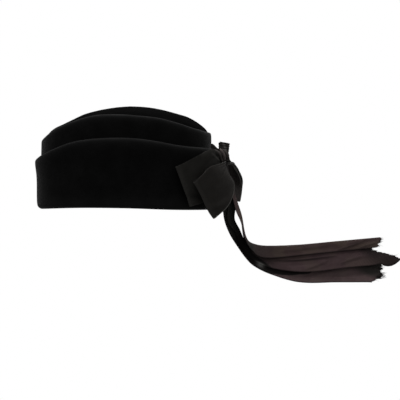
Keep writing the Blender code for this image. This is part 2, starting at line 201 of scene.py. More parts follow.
def spread(tree, texture, low, high):
    """A texture's value, stretched to run from 0 at low to 1 at high."""
    stretched = node_with(tree, "ShaderNodeMapRange", From_Min=low, From_Max=high)
    tree.links.new(texture.outputs["Fac"], stretched.inputs["Value"])
    return stretched.outputs["Result"]


def maths(tree, operation, *values):
    """The result of a maths node on sockets and plain numbers."""
    made = tree.nodes.new("ShaderNodeMath")
    made.operation = operation
    for socket, value in zip(made.inputs, values):
        if isinstance(value, (int, float)):
            socket.default_value = value
        else:
            tree.links.new(value, socket)
    return made.outputs["Value"]


def velvet_pile_group():
    """Pile: Brushed is 1 where the nap leans towards the light, and Height is its fine fibres."""
    tree, given, put = group_of(
        "velvet_pile",
        (("Pile Scale", 1 / PILE_SIZE), ("Brush Scale", 1 / BRUSH_SIZE)),
        ("Brushed", "Height"),
    )
    patches = object_noise(tree, Detail=8.0, Roughness=0.72)
    fibres = object_noise(tree, Detail=2.0, Roughness=0.7)
    tree.links.new(given.outputs["Brush Scale"], patches.inputs["Scale"])
    tree.links.new(given.outputs["Pile Scale"], fibres.inputs["Scale"])
    lit, grain = spread(tree, patches, 0.38, 0.68), spread(tree, fibres, 0.3, 0.7)
    tree.links.new(maths(tree, "MULTIPLY", lit, grain), put.inputs["Brushed"])
    tree.links.new(fibres.outputs["Fac"], put.inputs["Height"])
    return tree


velvet_pile = velvet_pile_group()


def add_group(tree, group, **values):
    made = tree.nodes.new("ShaderNodeGroup")
    made.node_tree = group
    return set_inputs(made, values)


def mark_of(tree, label):
    """The socket of a mark, which is a number that each point of the mesh carries."""
    node = tree.nodes.new("ShaderNodeAttribute")
    node.attribute_name = label
    return node.outputs["Fac"]


def cloth_material(name, **values):
    """A new material, whose Principled shader has those inputs, and its node tree."""
    material = bpy.data.materials.new(name)
    material.use_nodes = True
    tree = material.node_tree
    set_inputs(tree.nodes["Principled BSDF"], values)
    return material, tree


def dress(tree, colour, layers, height=None, rise=0.0):
    """Lays colours over the first one, each by its own mask, and adds a bump from a height."""
    for mask, above in layers:
        mix = tree.nodes.new("ShaderNodeMix")
        mix.data_type = "RGBA"
        tree.links.new(mask, mix.inputs["Factor"])
        if isinstance(colour, tuple):
            mix.inputs["A"].default_value = (*colour, 1.0)
        else:
            tree.links.new(colour, mix.inputs["A"])
        mix.inputs["B"].default_value = (*above, 1.0)
        colour = mix.outputs["Result"]
    shader = tree.nodes["Principled BSDF"]
    tree.links.new(colour, shader.inputs["Base Color"])
    if height is not None:
        bump = node_with(tree, "ShaderNodeBump", Distance=rise)
        tree.links.new(height, bump.inputs["Height"])
        tree.links.new(bump.outputs["Normal"], shader.inputs["Normal"])


def velvet(name, black, brushed, sheen, fold_highlight):
    """Dense pile, paler where its nap is brushed up, and with a painted highlight, by the mark
    "fold", along its folds.
    """
    material, tree = cloth_material(
        name,
        Roughness=1.0,
        Specular_IOR_Level=0.0,
        Sheen_Weight=sheen,
        Sheen_Roughness=0.35,
        Sheen_Tint=WHITE,
    )
    pile = add_group(tree, velvet_pile)
    layers = ((pile.outputs["Brushed"], brushed), (mark_of(tree, "fold"), fold_highlight))
    dress(tree, black, layers, pile.outputs["Height"], PILE_RISE)
    return material


def base_cloth():
    """The plain woven cotton on the inner face of the crown."""
    material, tree = cloth_material("base_cloth", Roughness=0.95, Specular_IOR_Level=0.1)
    weave = object_noise(tree, Scale=1100.0, Detail=1.0).outputs["Fac"]
    dress(tree, BASE_CLOTH_DARK, ((weave, BASE_CLOTH),), weave, PILE_RISE)
    return material


def smooth_step(value):
    t = min(max(value, 0.0), 1.0)
    return t * t * (3 - 2 * t)


def ramp(value, start, reach):
    """0 up to the start, 1 from a reach beyond it, and a smooth rise between them."""
    return smooth_step((value - start) / reach)


def cloth_drift(point):
    """How far the cloth lies from its even shape there: a small wave out and up."""
    out = Vector((point.x, point.y, 0.0))
    if out.length > 0:
        out.normalize()
    wave = noise.noise(point / CLOTH_WAVE_SIZE)
    lift = noise.noise(point / CLOTH_WAVE_SIZE + LIFT_WAVE_SHIFT)
    up = lift * CLOTH_WAVE * min(point.z / RIM_HELD, 1.0)
    return out * wave * CLOTH_WAVE + Vector((0.0, 0.0, up))


def settle(piece, sharp_angle=None):
    """Applies the piece's modifiers, and keeps edges sharp that turn by more than an angle."""
    graph = bpy.context.evaluated_depsgraph_get()
    mesh = bpy.data.meshes.new_from_object(piece.evaluated_get(graph), depsgraph=graph)
    piece.modifiers.clear()
    piece.data = mesh
    mesh.shade_smooth()
    if sharp_angle is not None:
        mesh.set_sharp_from_angle(angle=math.radians(sharp_angle))


def soft_copy(node, name):
    """A finer copy of a CAD piece: its facets are joined back into quads and rounded off."""
    shape = bmesh.new()
    shape.from_mesh(nodes[node].data)
    bmesh.ops.remove_doubles(shape, verts=shape.verts[:], dist=1e-6)
    bmesh.ops.join_triangles(
        shape,
        faces=shape.faces[:],
        angle_face_threshold=math.radians(60),
        angle_shape_threshold=math.radians(60),
    )
    mesh = bpy.data.meshes.new(name)
    shape.to_mesh(mesh)
    shape.free()
    piece = add_object(name, mesh)
    rounding = piece.modifiers.new("rounding", "SUBSURF")
    rounding.levels = ROUNDING
    rounding.render_levels = ROUNDING
    settle(piece)
    for vertex in piece.data.vertices:
        vertex.co += cloth_drift(vertex.co)
    return piece


def line_inside(piece, material):
    """Gives the faces that look towards the hat's middle the base cloth."""
    piece.data.materials.append(material)
    for face in piece.data.polygons:
        inwards = HAT_MIDDLE - face.center
        if face.normal.dot(inwards) > LINED_FACING * inwards.length:
            face.material_index = 1


crown = soft_copy("crown", "crown_cap")
crown_velvet = velvet("crown_velvet", CROWN_SHADED_BLACK, CROWN_SHADED_BRUSHED, CROWN_SHEEN, CROWN_SHADED_BRUSHED)
crown.data.materials.append(crown_velvet)
line_inside(crown, base_cloth())
for vertex in crown.data.vertices:
    x, z = vertex.co.x, vertex.co.z
    shoulder = ramp(x, *SHOULDER_X) * ramp(z, *SHOULDER_Z)
    brow = ramp(-x, *BROW_START) * (1 - ramp(-x, *BROW_END))
    vertex.co.x += CROWN_BACK_FULLNESS * ramp(x, *CROWN_BACK_X) * ramp(z, *CROWN_BACK_Z)
    vertex.co.z -= CROWN_BACK_DROP * shoulder + CROWN_FRONT_DROP * brow
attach(crown, "root")
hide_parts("crown")

# Middle and lower bands: strips of the same velvet, folded double. The fold is the soft top edge,
# which arches over the side of the head, and the lower band is turned under along the rim.
BAND_BLACK = (0.0034, 0.0034, 0.0034)
BAND_BRUSHED = (0.0072, 0.0072, 0.0072)
# The next colour is a painted highlight along the bands' folded top edges.
BAND_FOLD_HIGHLIGHT = (0.0190, 0.0190, 0.0190)
BAND_SHEEN = 0.09
FOLD_PLACES = 104
PALE_NOISE = 0.35
PALE_NOISE_SIZE = 0.012
RIM_PILE = 0.0004
RIM_BACK_PILE = 0.0007
RIM_BACK_X = 0.06
RIM_REACH = 0.020
RIM_PALE = 0.30
# How far the middle tier's fold moves behind, with pairs as for the crown.
BACK_FULLNESS = 0.0014
FULL_SHARE, FULL_Z = (0.4, 0.3), (0.068, 0.008)
BACK_DIP = 0.0026
DIP_X, DIP_Z = (0.083, 0.013), (0.074, 0.012)
BACK_LIFT = 0.0028
LIFT_X, LIFT_Z = (0.010, 0.035), (0.066, 0.012)
EASED, EASED_X = 0.55, (0.060, 0.030)
TIERS = (
    ("node", "name", "fold_reach", "fold_highlight_strength"),
    ("middle_band", "middle_tier", 0.0026, 0.95),
    ("lower_band", "lower_tier", 0.0032, 0.62),
)


def mark_points(mesh, label, values):
    layer = mesh.attributes.new(label, "FLOAT", "POINT")
    layer.data.foreach_set("value", values)


def fold_highlight_marks(mesh, reach, pale):
    """How pale each point of a band is: a painted highlight along the folded top edge, and a little
    paler towards the rim.
    """
    tops = [0.0] * FOLD_PLACES
    turns = []
    for vertex in mesh.vertices:
        turn = (math.atan2(vertex.co.y, vertex.co.x) / (2 * math.pi)) % 1.0 * FOLD_PLACES
        turns.append(turn)
        place = round(turn) % FOLD_PLACES
        tops[place] = max(tops[place], vertex.co.z)
    marks = []
    for vertex, turn in zip(mesh.vertices, turns):
        before = int(turn) % FOLD_PLACES
        after = (before + 1) % FOLD_PLACES
        top = tops[before] + (tops[after] - tops[before]) * (turn % 1.0)
        worn = 1.0 + PALE_NOISE * noise.noise(vertex.co / PALE_NOISE_SIZE)
        fold = pale * worn * math.exp(-max(top - vertex.co.z, 0.0) / reach)
        rim = RIM_PALE * worn * smooth_step(1 - vertex.co.z / RIM_REACH)
        marks.append(min(max(fold, rim), 1.0))
    return marks


band_velvet = velvet("band_velvet", BAND_BLACK, BAND_BRUSHED, BAND_SHEEN, BAND_FOLD_HIGHLIGHT)
for node, name, reach, pale in TIERS[1:]:
    tier = soft_copy(node, name)
    mark_points(tier.data, "fold", fold_highlight_marks(tier.data, reach, pale))
    for point in (vertex.co for vertex in tier.data.vertices):
        if node == "lower_band":
            hang = RIM_PILE + RIM_BACK_PILE * smooth_step(point.x / RIM_BACK_X)
            point.z -= hang * smooth_step(1 - point.z / RIM_REACH)
            continue
        behind = ramp(point.x / point.length, *FULL_SHARE)
        point.x += BACK_FULLNESS * behind * ramp(point.z, *FULL_Z)
        point.z -= BACK_DIP * ramp(point.x, *DIP_X) * ramp(point.z, *DIP_Z)
        lift = ramp(point.x, *LIFT_X) * (1 - EASED * ramp(point.x, *EASED_X))
        point.z += BACK_LIFT * lift * ramp(point.z, *LIFT_Z)
    tier.data.materials.append(band_velvet)
    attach(tier, "root")
    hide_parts(node)

# Bow: a black cross-ribbed ribbon, looped twice to each side of the knot and pleated towards it.
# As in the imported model, each row gives a loop's two edges from the knot to its fold: angles round
# the hat, and distances out and heights as shares of the ribbon's width.
HAT_LENGTH = 0.2054
HAT_WIDTH = 0.174
EGG_SHAPE = 0.03
SEAM_GAP = 0.0003
FLARE = 0.0024
RIBBON_WIDTH = 0.050
RIBBON_WALL = 0.001
CLOTH = 0.0005
KNOT_LENGTH = 0.016
KNOT_DEPTH = 0.013
KNOT_HEIGHT = 0.014
KNOT_LEVEL = 0.060
LOOP_STEPS = 64
FOLD_STEPS = 8
LOOP_ACROSS = 28
PLEATS = 6
PLEAT_REACH = 0.55
PLEAT_FADE = 1.5
PLEAT_PHASE = 1.2
INNER_PLEATS = 0.8
TUCK_REACH = 0.2
BULGE_RAMP = (0.5, 0.5)
BROWN_LEAST, BROWN_RAMP = 0.40, (0.60, 0.25)
RIB_PITCH = 0.0012
SELVAGE = 0.0014
SELVAGE_FADE, SELVAGE_RAMP = 0.8, (0.35, 0.25)
LOOP_COLUMNS = (
    "along", "top_angle", "top_out", "top_level", "low_angle", "low_out", "low_level", "gap"
)
LOOPS = {
    "bow_near_loop": (
        LOOP_COLUMNS,
        (0.00, 0.0, 0.12, 1.28, 0.0, 0.12, 1.11, 0.05),
        (0.15, 6.2, 0.16, 1.22, 5.2, 0.16, 0.99, 0.08),
        (0.30, 13.0, 0.19, 1.25, 11.0, 0.19, 0.84, 0.12),
        (0.43, 19.8, 0.21, 1.33, 16.5, 0.21, 0.62, 0.13),
        (0.55, 26.0, 0.22, 1.36, 22.0, 0.22, 0.40, 0.14),
        (0.80, 40.0, 0.19, 1.17, 32.0, 0.19, 0.17, 0.11),
        (1.00, 51.8, 0.15, 0.97, 41.2, 0.15, 0.08, 0.065),
    ),
    "bow_front_loop": (
        LOOP_COLUMNS,
        (0.00, 0.0, 0.19, 1.09, 0.0, 0.18, 0.93, 0.05),
        (0.25, 15.4, 0.34, 1.06, 9.4, 0.36, 0.82, 0.08),
        (0.50, 32.0, 0.40, 0.98, 10.2, 0.51, 0.54, 0.12),
        (0.75, 37.5, 0.36, 0.82, 17.6, 0.49, 0.11, 0.11),
        (1.00, 42.4, 0.30, 0.63, 26.4, 0.34, -0.19, 0.065),
    ),
    "bow_far_loop": (
        LOOP_COLUMNS,
        (0.00, 0.0, 0.11, 1.54, 0.0, 0.12, 1.14, 0.05),
        (0.15, -4.2, 0.36, 1.49, -3.2, 0.31, 1.16, 0.05),
        (0.35, -14.0, 0.21, 1.38, -12.0, 0.21, 0.84, 0.12),
        (0.55, -26.0, 0.22, 1.50, -22.0, 0.22, 0.44, 0.14),
        (0.80, -41.0, 0.19, 1.26, -33.0, 0.19, 0.18, 0.11),
        (1.00, -53.0, 0.15, 0.98, -42.5, 0.15, 0.05, 0.065),
    ),
    "bow_back_loop": (
        LOOP_COLUMNS,
        (0.00, 0.0, 0.27, 1.16, 0.0, 0.27, 1.00, 0.05),
        (0.12, -5.0, 0.31, 1.14, -1.6, 0.43, 1.02, 0.065),
        (0.25, -14.0, 0.34, 1.09, -4.8, 0.54, 0.91, 0.08),
        (0.50, -28.0, 0.38, 1.02, -9.8, 0.71, 0.66, 0.12),
        (0.75, -32.0, 0.36, 0.88, -15.4, 0.79, 0.40, 0.12),
        (1.00, -36.0, 0.36, 0.66, -20.4, 0.85, 0.15, 0.065),
    ),
}
# Columns six and seven: painted highlight on the top and low selvages, partly their own paler weave.
LOOP_LOOKS = (
    ("node", "pleats", "bulge", "low_gap", "tuck", "top_pale", "low_pale", "faded", "reverse"),
    ("bow_near_loop", 0.0011, 0.0, 1.0, 0.05, 0.08, 0.08, 0.0, 0.0),
    ("bow_front_loop", 0.0011, 0.0018, 1.0, 0.05, 0.50, 0.9, 0.06, 0.0),
    ("bow_far_loop", 0.0004, 0.0, 1.0, 0.05, 0.4, 0.4, 0.16, 0.4),
    ("bow_back_loop", 0.0016, 0.0050, 0.25, 0.0, 0.4, 0.6, 0.0, 1.0),
)
# Creases of the loops: from the knot (0) to the fold (1), and from the top edge (0) to the low one.
# The last column paints shade into a crease, and below 0 a highlight on a ridge that catches light.
LOOP_CREASES = (
    ("node", "from_along", "from_across", "to_along", "to_across", "width", "rise", "dark"),
    ("bow_near_loop", 0.36, 0.20, 0.45, 0.09, 0.0013, -0.0014, 1.00),
    ("bow_near_loop", 0.30, 0.34, 0.56, 0.10, 0.0014, 0.0006, -0.35),
    ("bow_near_loop", 0.36, 0.00, 0.72, 0.00, 0.0030, 0.0000, -0.14),
    ("bow_near_loop", 0.66, 1.00, 1.02, 0.74, 0.0040, -0.0010, 0.35),
    ("bow_near_loop", 0.34, 0.15, 0.75, 0.30, 0.0022, -0.0005, 0.12),
    ("bow_front_loop", 0.05, 0.45, 0.60, 0.40, 0.0022, -0.0006, 0.10),
    ("bow_front_loop", 0.55, 1.00, 1.00, 0.70, 0.0030, 0.0006, -0.04),
    ("bow_far_loop", 0.07, -0.10, 0.18, 0.75, 0.0140, 0.0000, -0.15),
    ("bow_far_loop", 0.03, -0.05, 0.12, 0.95, 0.0075, 0.0005, -0.60),
    ("bow_far_loop", 0.08, -0.05, 0.14, 0.95, 0.0065, -0.0005, 0.75),
    ("bow_back_loop", -0.05, 0.70, 0.30, 1.00, 0.0035, 0.0008, -0.85),
    ("bow_back_loop", 0.20, 0.96, 0.62, 1.02, 0.0022, 0.0006, -0.85),
    ("bow_back_loop", 0.05, 0.68, 0.68, 0.88, 0.0040, -0.0008, 0.55),
    ("bow_back_loop", 0.50, 0.84, 1.30, 0.98, 0.0100, 0.0000, -0.36),
)


def column(table, name):
    place = table[0].index(name)
    return [row[place] for row in table[1:]]


def read(table, name, at):
    """The named column at a value of the first column, on a smooth curve through the rows."""
    keys = column(table, table[0][0])
    values = column(table, name)
    last = len(keys) - 1

    def slope(i):
        low = max(i - 1, 0)
        high = min(i + 1, last)
        return (values[high] - values[low]) / (keys[high] - keys[low])

    start = 0
    while start < last - 1 and keys[start + 1] <= at:
        start += 1
    span = keys[start + 1] - keys[start]
    t = min(max((at - keys[start]) / span, 0.0), 1.0)
    rise = values[start + 1] - values[start]
    bend_in = slope(start) * span - rise
    bend_out = rise - slope(start + 1) * span
    return values[start] + rise * t + t * (1 - t) * (bend_in * (1 - t) + bend_out * t)


def oval(angle, out, height):
    """A point at an angle round the hat from its back, towards -Y, and out from the rim's oval."""
    x = (HAT_LENGTH / 2 + out) * math.cos(angle)
    y = -(HAT_WIDTH / 2 + out) * math.sin(angle) * (1 + EGG_SHAPE * math.cos(angle))
    return Vector((x, y, height))


def sheet_normals(rows):
    last = len(rows) - 1
    wide = len(rows[0]) - 1
    return [
        [
            (rows[min(i + 1, last)][j] - rows[max(i - 1, 0)][j])
            .cross(row[min(j + 1, wide)] - row[max(j - 1, 0)])
            .normalized()
            for j in range(wide + 1)
        ]
        for i, row in enumerate(rows)
    ]


def cloth_sheet(name, rows, across, marks, material):
    """A thin sheet from rows of points. Its UVs are metres of cloth: along its run, and across.
    Marks are named numbers for each point, which the material reads."""
    run = [0.0]
    middle = len(rows[0]) // 2
    for before, after in zip(rows, rows[1:]):
        run.append(run[-1] + (after[middle] - before[middle]).length)
    wide = len(rows[0])
    mesh = bpy.data.meshes.new(name)
    faces = [
        (i * wide + j, i * wide + j + 1, (i + 1) * wide + j + 1, (i + 1) * wide + j)
        for i in range(len(rows) - 1)
        for j in range(wide - 1)
    ]
    mesh.from_pydata([point for row in rows for point in row], [], faces)
    uv = mesh.uv_layers.new(name="cloth")
    for loop in mesh.loops:
        i, j = divmod(loop.vertex_index, wide)
        uv.data[loop.index].uv = (run[i], across[j])
    for label, values in marks.items():
        mark_points(mesh, label, [value for row in values for value in row])
    piece = add_object(name, mesh)
    wall = piece.modifiers.new("cloth", "SOLIDIFY")
    wall.thickness = CLOTH
    wall.offset = 0.0
    settle(piece, sharp_angle=60)
    piece.data.materials.append(material)
    return piece, run[-1]


def crease_at(creases, node, along, across, width):
    """How far the cloth rises along its creases, and their painted shade, a highlight below 0."""
    rise = 0.0
    dark = 0.0
    for name, a0, b0, a1, b1, reach, height, shade in creases[1:]:
        t = (along - a0) / (a1 - a0)
        if name != node or not 0 < t < 1:
            continue
        apart = (across - b0 - (b1 - b0) * t) * width / reach
        line = math.exp(-(apart**2)) * math.sin(math.pi * t) ** 0.5
        rise += height * line
        dark += shade * line
    return rise, min(max(dark, -1.0), 1.0)


def loop_sheet(node, pleat_depth, bulge, low_gap, tuck_in):
    """Rows along a loop: out along its outer layer, round the fold, and back along the inner one,
    whose edges are tucked in. The pleats are deepest at the knot, and the fold bulges. The mark
    "bent" is 1 along the fold, and "reverse" rises to 1 along the inner layer."""
    table = LOOPS[node]
    side = math.copysign(1, column(table, "top_angle")[-1])
    shares = [j / LOOP_ACROSS for j in range(LOOP_ACROSS + 1)]
    steps = [i / LOOP_STEPS for i in range(LOOP_STEPS + 1)]

    def point(along, share):
        angle = 0.0
        out = 0.0
        level = 0.0
        for edge, weight in (("top", 1 - share), ("low", share)):
            angle += weight * read(table, edge + "_angle", along)
            out += weight * RIBBON_WIDTH * read(table, edge + "_out", along)
            level += weight * RIBBON_WIDTH * read(table, edge + "_level", along)
        half = (HAT_WIDTH / 2 + out) * (1 + EGG_SHAPE)
        start = math.asin((KNOT_LENGTH / 2 + SEAM_GAP + RIBBON_WALL / 2) / half)
        return oval(side * start + math.radians(angle), out, level)

    front = [[point(step, share) for share in shares] for step in steps]
    normals = sheet_normals(front)
    back = []
    for i, step in enumerate(steps):
        inwards = -side * RIBBON_WIDTH * read(table, "gap", step)
        tuck = 1 - 2 * tuck_in * smooth_step((1 - step) / TUCK_REACH)
        back.append([])
        for share, normal in zip(shares, normals[i]):
            gap = inwards * (1 + (low_gap - 1) * smooth_step(share))
            back[-1].append(point(step, 0.5 + (share - 0.5) * tuck) + normal * gap)
    for i, step in enumerate(steps):
        pinch = max(1 - step / PLEAT_REACH, 0.0) ** PLEAT_FADE
        for j, share in enumerate(shares):
            wave = math.sin(2 * math.pi * PLEATS * share + PLEAT_PHASE) * pleat_depth * pinch
            front[i][j] += normals[i][j] * side * wave
            back[i][j] += normals[i][j] * side * wave * INNER_PLEATS
    ahead = [(front[-1][j] - front[-2][j]).normalized() for j in range(len(shares))]
    shades = []
    for i, step in enumerate(steps):
        shades.append([])
        for j, share in enumerate(shares):
            push = bulge * math.sin(math.pi * share**2) * ramp(step, *BULGE_RAMP)
            rise, shade = crease_at(LOOP_CREASES, node, step, share, RIBBON_WIDTH)
            shades[-1].append(shade)
            front[i][j] = front[i][j] + ahead[j] * push + normals[i][j] * side * rise
            back[i][j] = back[i][j] + ahead[j] * push - normals[i][j] * side * rise
    fold = []
    for k in range(1, FOLD_STEPS):
        turn = math.pi * k / FOLD_STEPS
        row = []
        for j in range(LOOP_ACROSS + 1):
            across = (front[-1][j] - back[-1][j]) / 2
            middle = (front[-1][j] + back[-1][j]) / 2
            row.append(middle + ahead[j] * across.length * math.sin(turn) + across * math.cos(turn))
        fold.append(row)
    rows = front + fold + back[::-1]
    alongs = []
    marks = {"bent": [], "reverse": [], "dark": [], "light": []}
    for i in range(len(rows)):
        inner = i > len(front) + len(fold) / 2
        edge = smooth_step(1 - abs(i - len(front) - (len(fold) - 1) / 2) / FOLD_STEPS)
        marks["bent"].append([edge] * len(shares))
        place = min(i, len(rows) - 1 - i, len(steps) - 1)
        alongs.append(steps[place])
        browned = BROWN_LEAST + (1 - BROWN_LEAST) * ramp(steps[place], *BROWN_RAMP)
        marks["reverse"].append([inner * browned] * len(shares))
        marks["dark"].append([max(shade, 0.0) for shade in shades[place]])
        marks["light"].append([max(-shade, 0.0) for shade in shades[place]])
    return rows, [share * RIBBON_WIDTH for share in shares], marks, alongs


def ribbon_weave_group():
    """Ribbon: Rib is its cross rib, Edge is 1 along its two selvages, and Worn is 1 in patches."""
    tree, given, put = group_of(
        "ribbon_weave",
        (("Rib Pitch", RIB_PITCH), ("Width", RIBBON_WIDTH), ("Selvage", SELVAGE)),
        ("Rib", "Edge", "Worn"),
    )
    place = tree.nodes.new("ShaderNodeUVMap")
    place.uv_map = "cloth"
    parts = tree.nodes.new("ShaderNodeSeparateXYZ")
    tree.links.new(place.outputs["UV"], parts.inputs["Vector"])
    run, across = parts.outputs["X"], parts.outputs["Y"]
    turns = maths(tree, "DIVIDE", run, given.outputs["Rib Pitch"])
    wave = maths(tree, "SINE", maths(tree, "MULTIPLY", turns, 2 * math.pi))
    far_edge = maths(tree, "SUBTRACT", given.outputs["Width"], across)
    inset = maths(tree, "MINIMUM", across, far_edge)
    near = maths(tree, "SUBTRACT", 1.0, maths(tree, "DIVIDE", inset, given.outputs["Selvage"]))
    patches = node_with(tree, "ShaderNodeTexNoise", Scale=70.0, Detail=4.0, Roughness=0.65)
    tree.links.new(place.outputs["UV"], patches.inputs["Vector"])
    tree.links.new(maths(tree, "MULTIPLY_ADD", wave, 0.5, 0.5), put.inputs["Rib"])
    tree.links.new(maths(tree, "MAXIMUM", near, 0.0), put.inputs["Edge"])
    tree.links.new(spread(tree, patches, 0.35, 0.7), put.inputs["Worn"])
    return tree


ribbon_weave = ribbon_weave_group()
# The first colour is painted shade in the bow's creases, and the fifth painted highlight.
BOW_HOLLOW_SHADE = (0.0022, 0.0021, 0.0019)
BOW_BLACK = (0.0098, 0.0092, 0.0080)
BOW_WORN = (0.0145, 0.0138, 0.0122)
# The ribbon's browned other side, paler still to light the shaded inner layers: partly painted light.
BOW_REVERSE = (0.0720, 0.0590, 0.0565)
BOW_HIGHLIGHT = (0.1300, 0.1260, 0.1180)
# How much painted highlight lies along each loop's fold.
BENT_HIGHLIGHT = 0.12
BOW_RIB_RISE = 0.00012


def ribbon(name):
    """Black ribbed ribbon: worn in patches, with its other side and its selvages paler."""
    material, tree = cloth_material(name, Roughness=0.85, Specular_IOR_Level=0.10)
    weave = add_group(tree, ribbon_weave)
    # The last four layers paint highlight on folds, selvages and ridges, and shade in creases.
    layers = (
        (weave.outputs["Worn"], BOW_WORN),
        (mark_of(tree, "reverse"), BOW_REVERSE),
        (maths(tree, "MULTIPLY", mark_of(tree, "bent"), BENT_HIGHLIGHT), BOW_HIGHLIGHT),
        (maths(tree, "MULTIPLY", weave.outputs["Edge"], mark_of(tree, "selvage")), BOW_HIGHLIGHT),
        (mark_of(tree, "light"), BOW_HIGHLIGHT),
        (mark_of(tree, "dark"), BOW_HOLLOW_SHADE),
    )
    dress(tree, BOW_BLACK, layers, weave.outputs["Rib"], BOW_RIB_RISE)
    return material


bow_ribbon = ribbon("bow_ribbon")
for node, *shape, top_pale, low_pale, faded, reverse_pale in LOOP_LOOKS[1:]:
    rows, across, marks, alongs = loop_sheet(node, *shape)
    marks["reverse"] = [
        [faded + (reverse_pale - faded) * value for value in row] for row in marks["reverse"]
    ]
    # Painted highlight along the selvages, fading on the top edge away from the knot.
    marks["selvage"] = []
    for along in alongs:
        top = top_pale * (1 - SELVAGE_FADE * ramp(along, *SELVAGE_RAMP))
        marks["selvage"].append([top + (low_pale - top) * y / RIBBON_WIDTH for y in across])
    loop, length = cloth_sheet(node + "_ribbon", rows, across, marks, bow_ribbon)
    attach(loop, "root")
    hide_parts(node)

# Knot: the same ribbon wound tight round the bow's middle, with its width crushed into ridges.
KNOT_RIDGES = 5
KNOT_AROUND = 72
KNOT_ALONG = 24
KNOT_ENDS = (
    ("along", "size"),
    (-1.00, 0.70),
    (-0.85, 0.95),
    (-0.40, 1.00),
    (0.40, 1.00),
    (0.85, 0.95),
    (1.00, 0.70),
)
KNOT_RIDGE_RISE = 0.05
KNOT_INSET = 0.03
KNOT_BEND, KNOT_SMALL_BEND, CAP_TURN, CAP_DENT = 0.8, 0.5, 0.6, 0.5
KNOT_SPOKES = 7
KNOT_CRUSH = 0.10
KNOT_REVERSE, KNOT_CAP_REVERSE, KNOT_SELVAGE_HIGHLIGHT = 0.3, 0.6, 0.5
KNOT_SHOWS_FROM, KNOT_SHOWS = 0.2, 0.6
KNOT_CAPS = (
    ("size", "dent"),
    (0.55, 0.0002),
    (0.36, 0.0005),
    (0.18, 0.0010),
    (0.04, 0.0014),
)


def even_marks(rows, **values):
    """Marks that have the same value at every point."""
    return {label: [[value] * len(row) for row in rows] for label, value in values.items()}


knot_middle = Vector((HAT_LENGTH / 2 + FLARE + SEAM_GAP + KNOT_DEPTH / 2, 0, KNOT_LEVEL))
knot_rows = []
for i in range(KNOT_ALONG + 1):
    along = 2 * i / KNOT_ALONG - 1
    row = []
    for j in range(KNOT_AROUND + 1):
        angle = 2 * math.pi * j / KNOT_AROUND
        bend = KNOT_BEND * math.sin(angle) + KNOT_SMALL_BEND * math.sin(3 * angle)
        ridge = math.sin(KNOT_RIDGES * math.pi * along + bend)
        size = read(KNOT_ENDS, "size", along) * (1 + KNOT_RIDGE_RISE * ridge) - KNOT_INSET
        x = KNOT_DEPTH / 2 * size * math.cos(angle)
        z = KNOT_HEIGHT / 2 * size * math.sin(angle)
        row.append(knot_middle + Vector((x, along * KNOT_LENGTH / 2, z)))
    knot_rows.append(row)
waist = knot_rows[KNOT_ALONG // 2]
for size, dent in KNOT_CAPS[1:]:
    for sign in (-1, 1):
        cap = []
        for j, point in enumerate(waist):
            angle = 2 * math.pi * j / KNOT_AROUND
            spoke = point - knot_middle
            crush = 1 + KNOT_CRUSH * math.sin(KNOT_SPOKES * angle + CAP_TURN * sign)
            hollow = dent * (1 + CAP_DENT * math.sin(KNOT_SPOKES * angle))
            x, z = (knot_middle[k] + spoke[k] * size * crush for k in (0, 2))
            cap.append(Vector((x, knot_middle.y + sign * (KNOT_LENGTH / 2 - hollow), z)))
        knot_rows.insert(0 if sign < 0 else len(knot_rows), cap)
knot_marks = even_marks(
    knot_rows, bent=0.0, reverse=KNOT_REVERSE, selvage=KNOT_SELVAGE_HIGHLIGHT, dark=0.0, light=0.0
)
for cap in (*range(len(KNOT_CAPS) - 1), *range(1 - len(KNOT_CAPS), 0)):
    knot_marks["reverse"][cap] = [KNOT_CAP_REVERSE] * (KNOT_AROUND + 1)
knot_across = [
    RIBBON_WIDTH * (KNOT_SHOWS_FROM + KNOT_SHOWS * j / KNOT_AROUND) for j in range(KNOT_AROUND + 1)
]
knot, _ = cloth_sheet("knot_wrap", knot_rows, knot_across, knot_marks, bow_ribbon)
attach(knot, "root")
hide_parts("bow_knot")

# Gathered strands of the knot's ribbon cross its near end, over the throat of the near loop.
STRAND_AROUND = 18
STRAND_STEPS = 30
STRAND_WIDTH = 0.0015
STRAND_FLATNESS = 0.6
STRAND_CRUSH, STRAND_RIDGES, STRAND_TWIST = 0.12, 5, 4
STRAND_COLUMNS = ("along", "x", "y", "z", "size")
STRANDS = {
    "knot_strand_left": (
        STRAND_COLUMNS,
        (0.00, 0.1018, -0.0385, 0.0672, 0.35),
        (0.25, 0.1050, -0.0370, 0.0650, 0.70),
        (0.45, 0.1078, -0.0325, 0.0620, 0.80),
        (0.60, 0.1088, -0.0275, 0.0580, 0.75),
        (0.80, 0.1098, -0.0220, 0.0550, 0.65),
        (1.00, 0.1112, -0.0110, 0.0540, 0.50),
    ),
    "knot_strand_top": (
        STRAND_COLUMNS,
        (0.00, 0.1075, -0.0110, 0.0685, 0.60),
        (0.35, 0.1100, -0.0125, 0.0655, 0.95),
        (0.70, 0.1128, -0.0125, 0.0610, 0.85),
        (1.00, 0.1135, -0.0115, 0.0560, 0.50),
    ),
    "knot_strand_right": (
        STRAND_COLUMNS,
        (0.00, 0.1105, -0.0105, 0.0680, 0.50),
        (0.35, 0.1135, -0.0120, 0.0655, 0.80),
        (0.70, 0.1165, -0.0110, 0.0610, 0.75),
        (1.00, 0.1190, -0.0075, 0.0550, 0.40),
    ),
}
